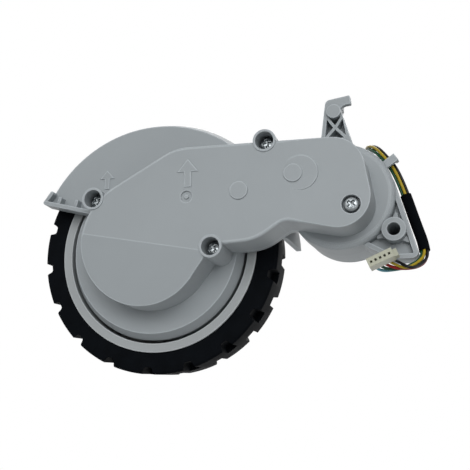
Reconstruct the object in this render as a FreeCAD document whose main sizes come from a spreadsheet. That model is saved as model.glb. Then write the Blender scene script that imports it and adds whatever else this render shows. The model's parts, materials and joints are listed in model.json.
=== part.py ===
import FreeCAD, Part
import math
import os
import Sketcher
from FreeCAD import Placement, Rotation, Vector

# Drive wheel module of a robot floor cleaner.
# The origin is the wheel's centre, on the axle, at the front face of the rim's ring.
# +X is right and +Z is up as seen from the gearbox cover, and the wheel spins about Y.
# Pieces are drawn in that front view, as (x, z), with heights measured towards the viewer,
# so that the height of a face is minus its Y.

# Driving dimensions, in millimetres, degrees and teeth
SIZES = {
    # wheel
    "rim_radius": 29.0, "ring_width": 2.5, "rim_back": -16.5, "rim_rib": 1.0, "rim_rib_width": 2.4,
    "tyre_thick": 6.0, "tyre_taper": 1.5, "tyre_front": -0.5, "tyre_back": -16.1, "shoulder_round": 0.8,
    "lug_count": 19, "lug_angle": 164.0, "notch_depth": 1.9, "notch_round": 1.3, "notch_mouth": 1.6,
    "notch_length": 7.0,
    "web_front": -11.6, "web_thick": 2.0, "hub_radius": 6.5, "hub_front": -9.1, "hub_back": -14.0,
    # output shaft and its bushes
    "shaft_radius": 2.5, "shaft_top": 9.2, "shaft_back": -13.5, "bush_radius": 4.0, "bush_length": 3.9,
    "running_gap": 0.05, "shaft_thread": 1.5, "shaft_thread_depth": 6.0,
    "wheel_screw_head": 2.9, "wheel_screw_head_height": 1.8, "washer_radius": 4.2, "washer_thick": 0.6,
    # gear train, from the output axis to the motor
    "output_teeth": 42, "third_pinion_teeth": 15, "third_teeth": 35, "second_pinion_teeth": 14,
    "second_teeth": 45, "first_pinion_teeth": 16, "first_teeth": 37, "motor_pinion_teeth": 12,
    "output_module": 0.6, "third_module": 0.6, "second_module": 0.5, "first_module": 0.4,
    "third_angle": 40.9, "second_angle": 2.4, "first_angle": 13.9, "motor_angle": -20.7,
    "backlash": 0.26, "tip_height": 0.8, "root_depth": 1.15, "pressure_angle": 20.0,
    "output_gear_back": -4.4, "output_gear_width": 5.8, "output_hub_radius": 4.9, "output_hub_top": 5.1,
    "third_gear_back": 3.5, "second_gear_back": 7.0, "first_gear_back": 10.0, "gear_width": 2.6,
    "first_gear_width": 2.2, "pin_radius": 1.0, "pin_seat": 0.6, "layer_gap": 0.25,
    # cover and housing shells
    "overlap": 0.8, "parting": 2.8, "cover_top": 14.0, "cover_wall": 1.5, "cover_roof": 1.4,
    "cover_edge": 0.7,
    "output_lobe": 17.8, "third_lobe": 14.2, "second_lobe": 14.1,
    "waist_x": 40.5, "waist_z": -1.4, "waist_radius": 4.0,
    "end_low_x": 54.1, "end_low_z": 8.5, "end_low_radius": 8.5,
    "end_high_x": 52.4, "end_high_z": 15.8, "end_high_radius": 8.9,
    "lobe_roof_drop": 1.9, "plane_length": 80.0, "plane_width": 60.0, "plane_height": 20.0,
    "plane_start": 25.0, "facet_angle": -11.0, "facet_slope": 8.0, "facet_x": -17.8, "facet_z": 2.9,
    "end_slope": 2.2, "end_slope_turn": 96.7, "end_slope_x": 42.3, "end_slope_z": 5.2,
    "floor_thick": 1.8, "dimple": 1.6, "dimple_pip": 0.6, "dimple_depth": 0.4, "pin_disc": 2.5,
    "pin_disc_height": 0.35, "moon": 4.8, "moon_shift": 1.9, "moon_depth": 0.5,
    # screws through the cover
    "screw1_x": -14.4, "screw1_z": 12.6, "screw2_x": 19.8, "screw2_z": -3.0,
    "screw3_x": 34.75, "screw3_z": 25.15, "screw4_x": 57.5, "screw4_z": 6.0,
    "screw_boss": 3.15, "screw_rim": 0.25, "screw_well": 2.5, "screw_sink": 3.2, "screw4_sink": 0.8,
    "screw_head": 1.9, "screw_head_height": 1.8, "screw_shank": 1.1, "screw_length": 9.5, "screw_clear": 0.25,
    "pillar_radius": 2.5, "post_radius": 2.85, "post_back": -6.5,
    # drum inside the wheel
    "drum_gap": 0.9, "drum_bevel": 1.5, "drum_draft": 0.8, "drum_shoulder": -0.4, "drum_back": -7.0,
    "drum_wall": 1.6, "well_gap": 1.0, "groove_width": 6.0, "bush_boss": 6.2,
    "bush_boss_back": -8.5, "third_pin_floor": 0.6, "pin_floor": 0.3,
    # fender over the wheel
    "fender_start": 2.0, "fender_end": 152.5, "fender_gap": 1.4, "fender_flare": 1.3,
    "fender_draft": 0.5, "fender_flare_at": -0.6, "fender_back": -17.0, "fender_wall": 1.4,
    # shelf at the fender's lower end
    "shelf_slope": -15.0, "shelf_tip_x": -32.95, "shelf_tip_z": 15.0, "shelf_length": 14.7,
    "shelf_thick": 1.2,
    "shelf_front": 6.0, "shelf_rib": 1.0, "shelf_rib1": 3.9, "shelf_rib2": 9.3, "shelf_rib1_height": 2.6,
    "shelf_rib2_height": 2.8, "shelf_rib_drop": 0.6, "shelf_ear_x": -33.2, "shelf_ear_z": 15.4,
    "shelf_top_x": -31.3, "shelf_top_z": 18.0, "shelf_root_x": -28.5, "shelf_root_z": 16.5,
    # motor pot and its cap
    "pot_x": 52.9, "pot_z": 11.6, "pot_radius": 14.9, "pot_wall": 1.4, "pot_back": -16.0, "pot_draft": 0.5,
    "pot_round": 1.6,
    "cap_flange": 1.4, "cap_step": 2.2, "cap_back": -24.0, "cap_wall": 1.3, "cap_round": 2.0,
    "ear_radius": 2.3, "ear_out": 1.5, "ear_root": 2.0, "ear1_angle": 110.0, "ear2_angle": 158.0,
    "ear_depth": 8.0, "ear_screw": 0.9, "ear_clear": 0.2, "ear_screw_head": 1.6,
    "ear_screw_head_height": 1.3, "ear_screw_length": 6.5,
    "can_gap": 3.0, "can_length": 15.2, "can_round": 1.0, "can_boss": 3.1, "can_boss_height": 1.5,
    "end_cap_thick": 1.4, "end_cap_inset": 0.5, "end_cap_boss": 3.4, "end_cap_boss_height": 1.2,
    "motor_shaft": 1.0, "motor_shaft_top": 12.4, "motor_shaft_back": -20.3,
    "motor_screw_reach": 8.0, "motor_screw_angle": 75.0, "motor_screw_head": 1.9,
    "motor_screw_head_height": 1.2,
    "motor_screw_radius": 1.1, "motor_screw_depth": 1.8,
    "magnet_radius": 3.4, "magnet_thick": 1.5, "board_inset": 2.1, "board_thick": 0.8,
    "board_front": -21.3, "chip_width": 3.0, "chip_height": 1.0,
    "chip_reach": 6.0,
    # pivot tail
    "pivot_x": 67.1, "pivot_z": 1.3, "pivot_bore": 1.76, "pivot_boss": 3.26, "pivot_front": 3.0,
    "pivot_back": -11.0, "pivot_floor": 1.5, "tail_front": 1.2, "tail_back": -5.6, "tail_wall": 1.3,
    "tail_depth": 2.1, "tail_floor": 1.5, "tail_corner": 1.6, "tail_corner_x": 71.5, "tail_corner_z": -4.9,
    "tail_heel_x": 66.5, "tail_shoulder_x": 66.1, "tail_shoulder_z": 14.4, "tail_inset": 6.0,
    "gusset_tip": 0.4, "gusset_reach": 4.7, "gusset_drop": 0.6, "gusset1_angle": 84.0,
    "gusset2_angle": 137.0, "gusset3_angle": 198.0, "gusset4_angle": -40.0,
    # spring hook
    "hook_left": 47.5, "hook_right": 58.0, "hook_base": 22.5, "hook_front": 2.8, "hook_back": -1.4,
    "hook_screw_back": -2.0, "beak_back": 1.2, "beak_neck": 0.3,
    "hook_disc_x": 52.0, "hook_disc_z": 35.6, "hook_disc": 2.0, "hook_disc_height": 1.1,
    "hook_disc_root": 1.0,
    "hook_throat_x": 55.5, "hook_throat_z": 35.95, "hook_throat": 1.6,
    "hook_tip_x": 56.4, "hook_tip_z": 38.0, "hook_tip": 0.35, "hook_crown_x": 56.1, "hook_crown_z": 39.7,
    "hook_crown": 0.45, "hook_shoulder_x": 51.0, "hook_shoulder_z": 37.9, "hook_shoulder": 1.5,
    "window_low": 28.0, "window_high": 34.2, "window_left": 49.4, "window_right": 55.2,
    "window_top_left": 49.95, "window_top_right": 54.3, "window_rib": 0.8, "window_depth": 3.2,
    # wires, their sleeve, plug and retaining finger
    "wire_radius": 0.4, "bundle_radius": 0.8, "bundle_roll": -10.4, "wire_lead": 3.2,
    "sleeve_inner": 1.25, "sleeve_outer": 1.5,
    "fan1_x": 4.69, "fan1_z": -9.58, "fan1_z_step": -0.2, "fan1_height": 2.26, "fan1_step": 1.25,
    "fan2_x": 1.5, "fan2_z": -0.62, "fan2_z_step": -0.01, "fan2_drop": 3.99, "fan2_step": 0.51,
    "plug_lead": 1.5,
    "plug_x": 64.15, "plug_z": -8.0, "plug_front": 11.0, "plug_depth": 4.8, "plug_width": 7.0,
    "plug_height": 2.5, "plug_angle": 22.5, "plug_pitch": 1.25, "plug_hole": 0.6, "plug_ear": 1.1,
    "plug_ear_height": 2.0, "plug_ear_depth": 3.0,
    "pin_length": 2.6,
    "grommet_radius": 2.3, "grommet_lip": 0.9, "grommet_set": 0.15, "grommet_angle": 74.0,
    "grommet_height": -20.6,
    "finger_angle": 34.5, "finger_width": 2.2, "finger_out": 3.7, "finger_front": 0.3,
    "finger_thick": 1.2, "finger_lip": 0.8, "finger_drop": 2.2,
}

# Document and sheet of sizes
doc = FreeCAD.newDocument("WheelModule")
sheet = doc.addObject("Spreadsheet::Sheet", "Sizes")
for row, (alias, number) in enumerate(SIZES.items(), start=1):
    sheet.set("A%d" % row, alias)
    sheet.set("B%d" % row, str(number))
    sheet.setAlias("B%d" % row, alias)
doc.recompute()


class Size:
    """A number from the sheet together with the expression that keeps it bound there."""

    def __init__(self, value, text):
        self.value = float(value)
        self.text = text

    def __add__(self, other):
        other = as_size(other)
        return Size(self.value + other.value, "(%s + %s)" % (self.text, other.text))

    def __sub__(self, other):
        other = as_size(other)
        return Size(self.value - other.value, "(%s - %s)" % (self.text, other.text))

    def __mul__(self, other):
        other = as_size(other)
        return Size(self.value * other.value, "(%s * %s)" % (self.text, other.text))

    def __truediv__(self, other):
        other = as_size(other)
        return Size(self.value / other.value, "(%s / %s)" % (self.text, other.text))

    def __neg__(self):
        return Size(0, "0") - self

    def __rsub__(self, other):
        return as_size(other) - self

    __radd__ = __add__
    __rmul__ = __mul__


def as_size(number):
    if isinstance(number, Size):
        return number
    return Size(number, "(%r)" % float(number))


def cosine(angle):
    return Size(math.cos(math.radians(angle.value)), "cos(%s * 1 deg)" % angle.text)


def sine(angle):
    return Size(math.sin(math.radians(angle.value)), "sin(%s * 1 deg)" % angle.text)


def polar(centre, reach, angle):
    """Point at a distance and angle from a centre, in the front view."""
    return centre[0] + reach * cosine(angle), centre[1] + reach * sine(angle)


class Sheet:
    """The sheet's cells by their names."""

    def __getattr__(self, alias):
        return Size(sheet.get(alias), "Sizes." + alias)


S = Sheet()
ZERO = Size(0, "0")
CENTRE = (ZERO, ZERO)
FRONT_VIEW = Placement(Vector(0, 0, 0), Rotation(Vector(1, 0, 0), 90))
nodes = {}


# Bodies, sketches and features

def new_body(label):
    body = doc.addObject("PartDesign::Body", label)
    body.Placement = FRONT_VIEW
    nodes[label] = body
    return body


def origin_feature(body, role):
    return next(feature for feature in body.Origin.OriginFeatures if feature.Role == role)


def new_sketch(body, name, role):
    sketch = body.newObject("Sketcher::SketchObject", name)
    sketch.AttachmentSupport = [(origin_feature(body, role), "")]
    sketch.MapMode = "FlatFace"
    return sketch


def bind(sketch, kind, where, size):
    number = sketch.addConstraint(Sketcher.Constraint(kind, *where, size.value))
    sketch.setExpression("Constraints[%d]" % number, size.text)


def pin_point(sketch, geometry, point, x, y):
    """Holds a point of the sketch at a place measured from the sketch's origin."""
    for kind, size, axis in (("DistanceX", x, -2), ("DistanceY", y, -1)):
        if size.text == "0":
            sketch.addConstraint(Sketcher.Constraint("PointOnObject", geometry, point, axis))
        else:
            bind(sketch, kind, (-1, 1, geometry, point), size)


def outline(sketch, corners):
    """Closed line round a list of (x, y, radius), anticlockwise, tangent to every round corner.

    A corner with no radius is sharp, one with a negative radius is hollow, and a single corner
    is a full circle.
    """
    if len(corners) == 1:
        x, y, radius = corners[0]
        circle = sketch.addGeometry(Part.Circle(Vector(x.value, y.value, 0), Vector(0, 0, 1), radius.value))
        pin_point(sketch, circle, 3, x, y)
        bind(sketch, "Radius", (circle,), radius)
        return
    count = len(corners)
    headings = []
    for index, (x, y, radius) in enumerate(corners):
        next_x, next_y, next_radius = corners[(index + 1) % count]
        run_x, run_y = next_x.value - x.value, next_y.value - y.value
        lean = math.asin((radius.value - next_radius.value) / math.hypot(run_x, run_y))
        headings.append(math.atan2(run_y, run_x) + lean)
    ends = []
    for index, (x, y, radius) in enumerate(corners):
        here = Vector(x.value, y.value, 0)
        for heading in (headings[index - 1], headings[index]):
            ends.append(here + Vector(math.sin(heading), -math.cos(heading), 0) * radius.value)
    lines = []
    for index in range(count):
        start, stop = ends[2 * index + 1], ends[(2 * index + 2) % (2 * count)]
        lines.append(sketch.addGeometry(Part.LineSegment(start, stop)))
    for index, (x, y, radius) in enumerate(corners):
        before, after = lines[index - 1], lines[index]
        if radius.text == "0":
            sketch.addConstraint(Sketcher.Constraint("Coincident", before, 2, after, 1))
            pin_point(sketch, after, 1, x, y)
            continue
        hollow = radius.value < 0
        first, last = headings[index - 1], headings[index]
        if hollow:
            first, last = last + math.pi, first + math.pi
        circle = Part.Circle(Vector(x.value, y.value, 0), Vector(0, 0, 1), abs(radius.value))
        low = first - math.pi / 2
        turn = (last - first) % (2 * math.pi)
        arc = sketch.addGeometry(Part.ArcOfCircle(circle, low, low + turn))
        into, out = (2, 1) if hollow else (1, 2)
        sketch.addConstraint(Sketcher.Constraint("Tangent", before, 2, arc, into))
        sketch.addConstraint(Sketcher.Constraint("Tangent", arc, out, after, 1))
        pin_point(sketch, arc, 3, x, y)
        bind(sketch, "Radius", (arc,), -radius if hollow else radius)


def layer(body, name, corners, low, high, cut):
    low, high = as_size(low), as_size(high)
    sketch = new_sketch(body, name + "_outline", "XY_Plane")
    sketch.setExpression("AttachmentOffset.Base.z", (high if cut else low).text)
    outline(sketch, corners)
    feature = body.newObject("PartDesign::Pocket" if cut else "PartDesign::Pad", name)
    feature.Profile = sketch
    feature.setExpression("Length", (high - low).text)
    return feature


def pad(body, name, corners, low, high):
    return layer(body, name, corners, low, high, False)


def pocket(body, name, corners, low, high):
    return layer(body, name, corners, low, high, True)


def turned(body, name, corners, centre=CENTRE, cut=False, start=None, sweep=None):
    """Profile of (radius, height) corners turned about an axis towards the viewer."""
    sketch = new_sketch(body, name + "_profile", "XZ_Plane")
    sketch.setExpression("AttachmentOffset.Base.x", centre[0].text)
    sketch.setExpression("AttachmentOffset.Base.z", (-centre[1]).text)
    if start is not None:
        sketch.AttachmentOffset = Placement(Vector(0, 0, 0), Rotation(Vector(0, 1, 0), 1))
        sketch.setExpression("AttachmentOffset.Rotation.Angle", start.text)
    outline(sketch, corners)
    feature = body.newObject("PartDesign::Groove" if cut else "PartDesign::Revolution", name)
    feature.Profile = sketch
    feature.ReferenceAxis = (sketch, ["V_Axis"])
    if sweep is not None:
        feature.setExpression("Angle", sweep.text)
    return feature


def ring_of(body, name, features, count):
    """Copies of features round the body's own axis."""
    pattern = body.newObject("PartDesign::PolarPattern", name)
    pattern.Originals = features
    pattern.Axis = (origin_feature(body, "Z_Axis"), [""])
    pattern.Angle = 360
    pattern.setExpression("Occurrences", count.text)
    body.Tip = pattern
    return pattern


def round_edges(body, name, radius, wanted):
    """Fillet on the edges of the body's last shape that a test picks, in the front view."""
    doc.recompute()
    base = body.Tip
    names = []
    for number, edge in enumerate(base.Shape.Edges, start=1):
        if wanted(edge):
            names.append("Edge%d" % number)
    fillet = body.newObject("PartDesign::Fillet", name)
    fillet.Base = (base, names)
    fillet.setExpression("Radius", radius.text)
    return fillet


def node_feature(label, shape):
    """A piece whose shape is worked out from the sheet's numbers."""
    feature = doc.addObject("Part::Feature", label)
    feature.Shape = shape
    nodes[label] = feature
    return feature


def group(label, bodies):
    """Like pieces that share one node."""
    compound = doc.addObject("Part::Compound", label)
    compound.Links = bodies
    for body in bodies:
        nodes.pop(body.Label)
    nodes[label] = compound
    return compound


def disc(centre, radius):
    return [(centre[0], centre[1], radius)]


def box_corners(left, low, right, high):
    return [(left, low, ZERO), (right, low, ZERO), (right, high, ZERO), (left, high, ZERO)]


def bar(centre, angle, near, far, width):
    """Corners of a straight bar that points away from a centre."""
    half = width / 2
    across = angle + 90
    inner, outer = polar(centre, near, angle), polar(centre, far, angle)
    return [polar(inner, -half, across) + (ZERO,), polar(outer, -half, across) + (ZERO,),
            polar(outer, half, across) + (ZERO,), polar(inner, half, across) + (ZERO,)]


# Sizes that follow from others
ring_inner = S.rim_radius - S.ring_width
tyre_radius = S.rim_radius + S.tyre_thick
drum_radius = ring_inner - S.drum_gap
drum_face = drum_radius - S.drum_bevel
drum_tail = drum_radius - S.drum_draft
groove_outer = drum_tail - S.drum_wall
fender_front = tyre_radius + S.fender_gap
fender_flare = fender_front + S.fender_flare
fender_tail = fender_flare + S.fender_draft
can_radius = S.pot_radius - S.can_gap
pot_end = S.pot_radius - S.pot_draft
cap_dome = S.pot_radius - S.cap_step
ear_reach = S.pot_radius + S.ear_out
finger_reach = S.pot_radius + S.finger_out

# Axes of the gear train
third_axis = polar(CENTRE, S.output_module * (S.output_teeth + S.third_pinion_teeth) / 2, S.third_angle)
second_axis = polar(third_axis, S.third_module * (S.third_teeth + S.second_pinion_teeth) / 2, S.second_angle)
first_axis = polar(second_axis, S.second_module * (S.second_teeth + S.first_pinion_teeth) / 2, S.first_angle)
motor_axis = polar(first_axis, S.first_module * (S.first_teeth + S.motor_pinion_teeth) / 2, S.motor_angle)
pot_centre = (S.pot_x, S.pot_z)
pivot = (S.pivot_x, S.pivot_z)
screws = [(S.screw1_x, S.screw1_z), (S.screw2_x, S.screw2_z), (S.screw3_x, S.screw3_z),
          (S.screw4_x, S.screw4_z)]
sinks = [S.screw_sink, S.screw_sink, S.screw_sink, S.screw4_sink]
cover_inside = S.cover_top - S.cover_roof
floor_back = S.parting - S.floor_thick
pin_top = cover_inside + S.pin_seat


def lobes(inset):
    """The two outlines that the gearbox is made of, set in by a wall."""
    wheel_end = [(ZERO, ZERO, S.output_lobe - inset), third_axis + (S.third_lobe - inset,)]
    arm = [third_axis + (S.third_lobe - inset,), second_axis + (S.second_lobe - inset,),
           (S.waist_x, S.waist_z, -S.waist_radius - inset),
           (S.end_low_x, S.end_low_z, S.end_low_radius - inset),
           (S.end_high_x, S.end_high_z, S.end_high_radius - inset)]
    return wheel_end, arm


def make_tyre():
    body = new_body("tyre")
    lip = S.shoulder_round
    rib_mid = (S.tyre_front + S.tyre_back) / 2
    half = S.rim_rib_width / 2
    turned(body, "carcass", [
        (S.rim_radius, S.tyre_back, ZERO), (tyre_radius - S.tyre_taper - lip, S.tyre_back + lip, lip),
        (tyre_radius - lip, S.tyre_front - lip, lip),
        (S.rim_radius, S.tyre_front, ZERO), (S.rim_radius, rib_mid + half, ZERO),
        (S.rim_radius + S.rim_rib, rib_mid + half, ZERO), (S.rim_radius + S.rim_rib, rib_mid - half, ZERO),
        (S.rim_radius, rib_mid - half, ZERO)])
    notches = []
    pitch = Size(360, "360") / S.lug_count
    floor = tyre_radius - S.notch_depth
    rows = (("front_notch", S.tyre_front - S.notch_length, S.tyre_front + S.overlap, S.lug_angle),
            ("back_notch", S.tyre_back - S.overlap, S.tyre_back + S.notch_length, S.lug_angle + pitch / 2))
    for name, low, high, angle in rows:
        bottom = polar(CENTRE, floor + S.notch_round, angle)
        mouth = polar(CENTRE, tyre_radius + S.notch_round, angle)
        notches.append(pocket(body, name, [bottom + (S.notch_round,), mouth + (S.notch_mouth,)], low, high))
    ring_of(body, "tread", notches, S.lug_count)


def make_rim():
    body = new_body("wheel_rim")
    rib_mid = (S.tyre_front + S.tyre_back) / 2
    half = S.rim_rib_width / 2
    web_back = S.web_front - S.web_thick
    bore = S.shaft_radius
    turned(body, "barrel_and_web", [
        (bore, S.hub_back, ZERO), (S.hub_radius, S.hub_back, ZERO), (S.hub_radius, web_back, ZERO),
        (ring_inner, web_back, ZERO), (ring_inner, S.rim_back, ZERO), (S.rim_radius, S.rim_back, ZERO),
        (S.rim_radius, rib_mid - half, ZERO), (S.rim_radius + S.rim_rib, rib_mid - half, ZERO),
        (S.rim_radius + S.rim_rib, rib_mid + half, ZERO), (S.rim_radius, rib_mid + half, ZERO),
        (S.rim_radius, ZERO, ZERO), (ring_inner, ZERO, ZERO), (ring_inner, S.web_front, ZERO),
        (S.hub_radius, S.web_front, ZERO), (S.hub_radius, S.hub_front, ZERO), (bore, S.hub_front, ZERO)])


def make_shaft_parts():
    shaft = new_body("output_shaft")
    turned(shaft, "rod", [
        (ZERO, S.shaft_back + S.shaft_thread_depth, ZERO),
        (S.shaft_thread, S.shaft_back + S.shaft_thread_depth, ZERO),
        (S.shaft_thread, S.shaft_back, ZERO), (S.shaft_radius, S.shaft_back, ZERO),
        (S.shaft_radius, S.shaft_top, ZERO), (ZERO, S.shaft_top, ZERO)])
    washer = new_body("wheel_washer")
    turned(washer, "ring", [
        (S.shaft_thread, S.hub_back - S.washer_thick, ZERO),
        (S.washer_radius, S.hub_back - S.washer_thick, ZERO),
        (S.washer_radius, S.hub_back, ZERO), (S.shaft_thread, S.hub_back, ZERO)])
    screw = new_body("wheel_screw")
    seat = S.hub_back - S.washer_thick
    turned(screw, "head_and_shank", [
        (ZERO, seat - S.wheel_screw_head_height, ZERO),
        (S.wheel_screw_head, seat - S.wheel_screw_head_height, ZERO),
        (S.wheel_screw_head, seat, ZERO), (S.shaft_thread, seat, ZERO),
        (S.shaft_thread, S.shaft_back + S.shaft_thread_depth, ZERO),
        (ZERO, S.shaft_back + S.shaft_thread_depth, ZERO)])
    bore = S.shaft_radius + S.running_gap
    for label, low in (("rear_bush", S.bush_boss_back), ("front_bush", S.output_hub_top + S.layer_gap)):
        bush = new_body(label)
        turned(bush, "sleeve", [
            (bore, low, ZERO), (S.bush_radius, low, ZERO),
            (S.bush_radius, low + S.bush_length, ZERO), (bore, low + S.bush_length, ZERO)])


# Gears

def gear_face(teeth, module, phase, bore):
    """Flat outline of a straight-flanked gear about the front view's centre."""
    pitch_radius = teeth * module / 2
    tip = pitch_radius + S.tip_height.value * module
    root = pitch_radius - S.root_depth.value * module
    half = math.pi * module / 4 - S.backlash.value / 4
    slope = math.tan(math.radians(S.pressure_angle.value))
    points = []
    for tooth in range(teeth):
        middle = phase + tooth * 2 * math.pi / teeth
        for radius, side in ((root, -1), (tip, -1), (tip, 1), (root, 1)):
            offset = side * (half - (radius - pitch_radius) * slope) / radius
            points.append(Vector(radius * math.cos(middle + offset), radius * math.sin(middle + offset), 0))
    face = Part.Face(Part.makePolygon(points + points[:1]))
    return face.cut(Part.Face(Part.Wire(Part.makeCircle(bore))))


def meshing_phase(centre, teeth, phase, other_centre, other_teeth):
    """Turn of the second gear that puts a gap where the first has a tooth."""
    heading = math.atan2(other_centre[1].value - centre[1].value, other_centre[0].value - centre[0].value)
    share = (heading - phase) * teeth / (2 * math.pi)
    return heading + math.pi - (0.5 - share) * 2 * math.pi / other_teeth


def gear_solid(centre, teeth, module, phase, bore, low, high):
    solid = gear_face(teeth, module, phase, bore).extrude(Vector(0, 0, high - low))
    solid.translate(Vector(centre[0].value, centre[1].value, low))
    return solid


def in_world(shape):
    shape = shape.copy()
    shape.Placement = FRONT_VIEW.multiply(shape.Placement)
    return shape


def hub(centre, radius, bore, low, high):
    spot = Vector(centre[0].value, centre[1].value, low)
    return Part.makeCylinder(radius, high - low, spot).cut(Part.makeCylinder(bore, high - low, spot))


def make_gears():
    gap = S.layer_gap.value
    pin_bore = (S.pin_radius + S.running_gap).value
    output_teeth, third_pinion = int(S.output_teeth.value), int(S.third_pinion_teeth.value)
    third, second_pinion = int(S.third_teeth.value), int(S.second_pinion_teeth.value)
    second, first_pinion = int(S.second_teeth.value), int(S.first_pinion_teeth.value)
    first, motor_pinion = int(S.first_teeth.value), int(S.motor_pinion_teeth.value)
    output_low = S.output_gear_back.value
    output_high = output_low + S.output_gear_width.value
    shaft = S.shaft_radius.value
    output = gear_solid(CENTRE, output_teeth, S.output_module.value, 0, shaft, output_low, output_high)
    output = output.fuse(hub(CENTRE, S.output_hub_radius.value, shaft, output_high, S.output_hub_top.value))
    node_feature("output_gear", in_world(output.removeSplitter()))

    width = S.gear_width.value
    rows = (("third_gear", third_axis, third, S.third_module, third_pinion, S.output_module,
             S.third_gear_back,
             width, output_low - gap, CENTRE, output_teeth),
            ("second_gear", second_axis, second, S.second_module, second_pinion, S.third_module,
             S.second_gear_back, width, S.third_gear_back.value - gap / 2, third_axis, third),
            ("first_gear", first_axis, first, S.first_module, first_pinion, S.second_module,
             S.first_gear_back,
             S.first_gear_width.value, S.second_gear_back.value - gap / 2, second_axis, second))
    for (label, axis, teeth, module, pinion, pinion_module, back, wide, pinion_low, driven,
         driven_teeth) in rows:
        turn = meshing_phase(driven, driven_teeth, 0, axis, pinion)
        solid = gear_solid(axis, pinion, pinion_module.value, turn, pin_bore, pinion_low, back.value)
        solid = solid.fuse(gear_solid(axis, teeth, module.value, 0, pin_bore, back.value, back.value + wide))
        node_feature(label, in_world(solid.removeSplitter()))

    turn = meshing_phase(first_axis, first, 0, motor_axis, motor_pinion)
    low = S.first_gear_back.value - gap
    solid = gear_solid(motor_axis, motor_pinion, S.first_module.value, turn, S.motor_shaft.value, low,
                       low + S.first_gear_width.value + gap)
    node_feature("motor_pinion", in_world(solid))


def make_pins():
    floor_seat = floor_back + S.pin_floor
    for label, axis, low in (("third_gear_pin", third_axis, S.drum_back + S.third_pin_floor),
                             ("second_gear_pin", second_axis, floor_seat),
                             ("first_gear_pin", first_axis, floor_seat)):
        body = new_body(label)
        pad(body, "rod", disc(axis, S.pin_radius), low, pin_top)


# Shells

def planed(body, name, crease, angle, slope):
    """Box that planes the cover's face down on the right of a crease line at a small slope."""
    box = body.newObject("PartDesign::SubtractiveBox", name)
    box.AttachmentSupport = [(origin_feature(body, "XY_Plane"), "")]
    box.MapMode = "FlatFace"
    for side, size in (("Length", S.plane_length), ("Width", S.plane_width), ("Height", S.plane_height)):
        box.setExpression(side, size.text)
    tilt = Rotation(Vector(0, 0, 1), angle.value) * Rotation(Vector(1, 0, 0), slope.value)
    hinge = Vector(crease[0].value, crease[1].value, S.cover_top.value)
    corner = Vector(-S.plane_start.value, -S.plane_width.value, 0)
    box.AttachmentOffset = Placement(hinge + tilt.multVec(corner), tilt)
    body.Tip = box


def make_cover():
    body = new_body("gearbox_cover")
    wheel_end, arm = lobes(ZERO)
    pad(body, "wheel_end", wheel_end, S.parting, S.cover_top)
    pad(body, "arm", arm, S.parting, S.cover_top)
    top = S.cover_top.value
    round_edges(body, "top_edge", S.cover_edge,
                lambda edge: all(abs(vertex.Z - top) < 1e-4 for vertex in edge.Vertexes))

    planed(body, "wheel_facet", (S.facet_x, S.facet_z), S.facet_angle, S.facet_slope)
    planed(body, "end_facet", (S.end_slope_x, S.end_slope_z), S.end_slope_turn, S.end_slope)
    wheel_end, arm = lobes(S.cover_wall)
    roof = cover_inside - S.lobe_roof_drop
    pocket(body, "wheel_end_inside", wheel_end, S.parting, roof)
    pocket(body, "arm_inside", arm, S.parting, cover_inside)
    seats = [S.cover_top - sink - S.screw_head_height for sink in sinks]
    for number in (0, 1, 2):
        pad(body, "post%d" % (number + 1), disc(screws[number], S.screw_boss), S.parting,
            S.cover_top + S.screw_rim)
    pad(body, "post4", disc(screws[3], S.screw_boss), seats[3] - S.cover_roof, cover_inside)
    low_bush = S.output_hub_top + S.layer_gap
    pad(body, "bush_boss", disc(CENTRE, S.bush_radius + S.cover_wall), low_bush, roof)
    pocket(body, "bush_seat", disc(CENTRE, S.bush_radius), low_bush, low_bush + S.bush_length)
    for number in range(4):
        pocket(body, "well%d" % (number + 1), disc(screws[number], S.screw_well), seats[number],
               S.cover_top + S.screw_rim + S.overlap)
        pocket(body, "hole%d" % (number + 1), disc(screws[number], S.screw_shank + S.screw_clear),
               S.parting, seats[number])
    for name, axis in (("third", third_axis), ("second", second_axis), ("first", first_axis)):
        pocket(body, name + "_pin_seat", disc(axis, S.pin_radius), cover_inside, pin_top)

    # marks over the three pins
    pocket(body, "dimple", disc(third_axis, S.dimple), S.cover_top - S.dimple_depth, S.cover_top)
    pad(body, "dimple_pip", disc(third_axis, S.dimple_pip), S.cover_top - S.dimple_depth, S.cover_top)
    moon = (first_axis[0] + S.moon_shift, first_axis[1])
    pad(body, "moon", disc(moon, S.moon), S.cover_top - S.moon_depth, S.cover_top)
    for name, axis in (("second_disc", second_axis), ("first_disc", first_axis)):
        pad(body, name, disc(axis, S.pin_disc), S.cover_top - S.moon_depth, S.cover_top + S.pin_disc_height)


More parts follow.
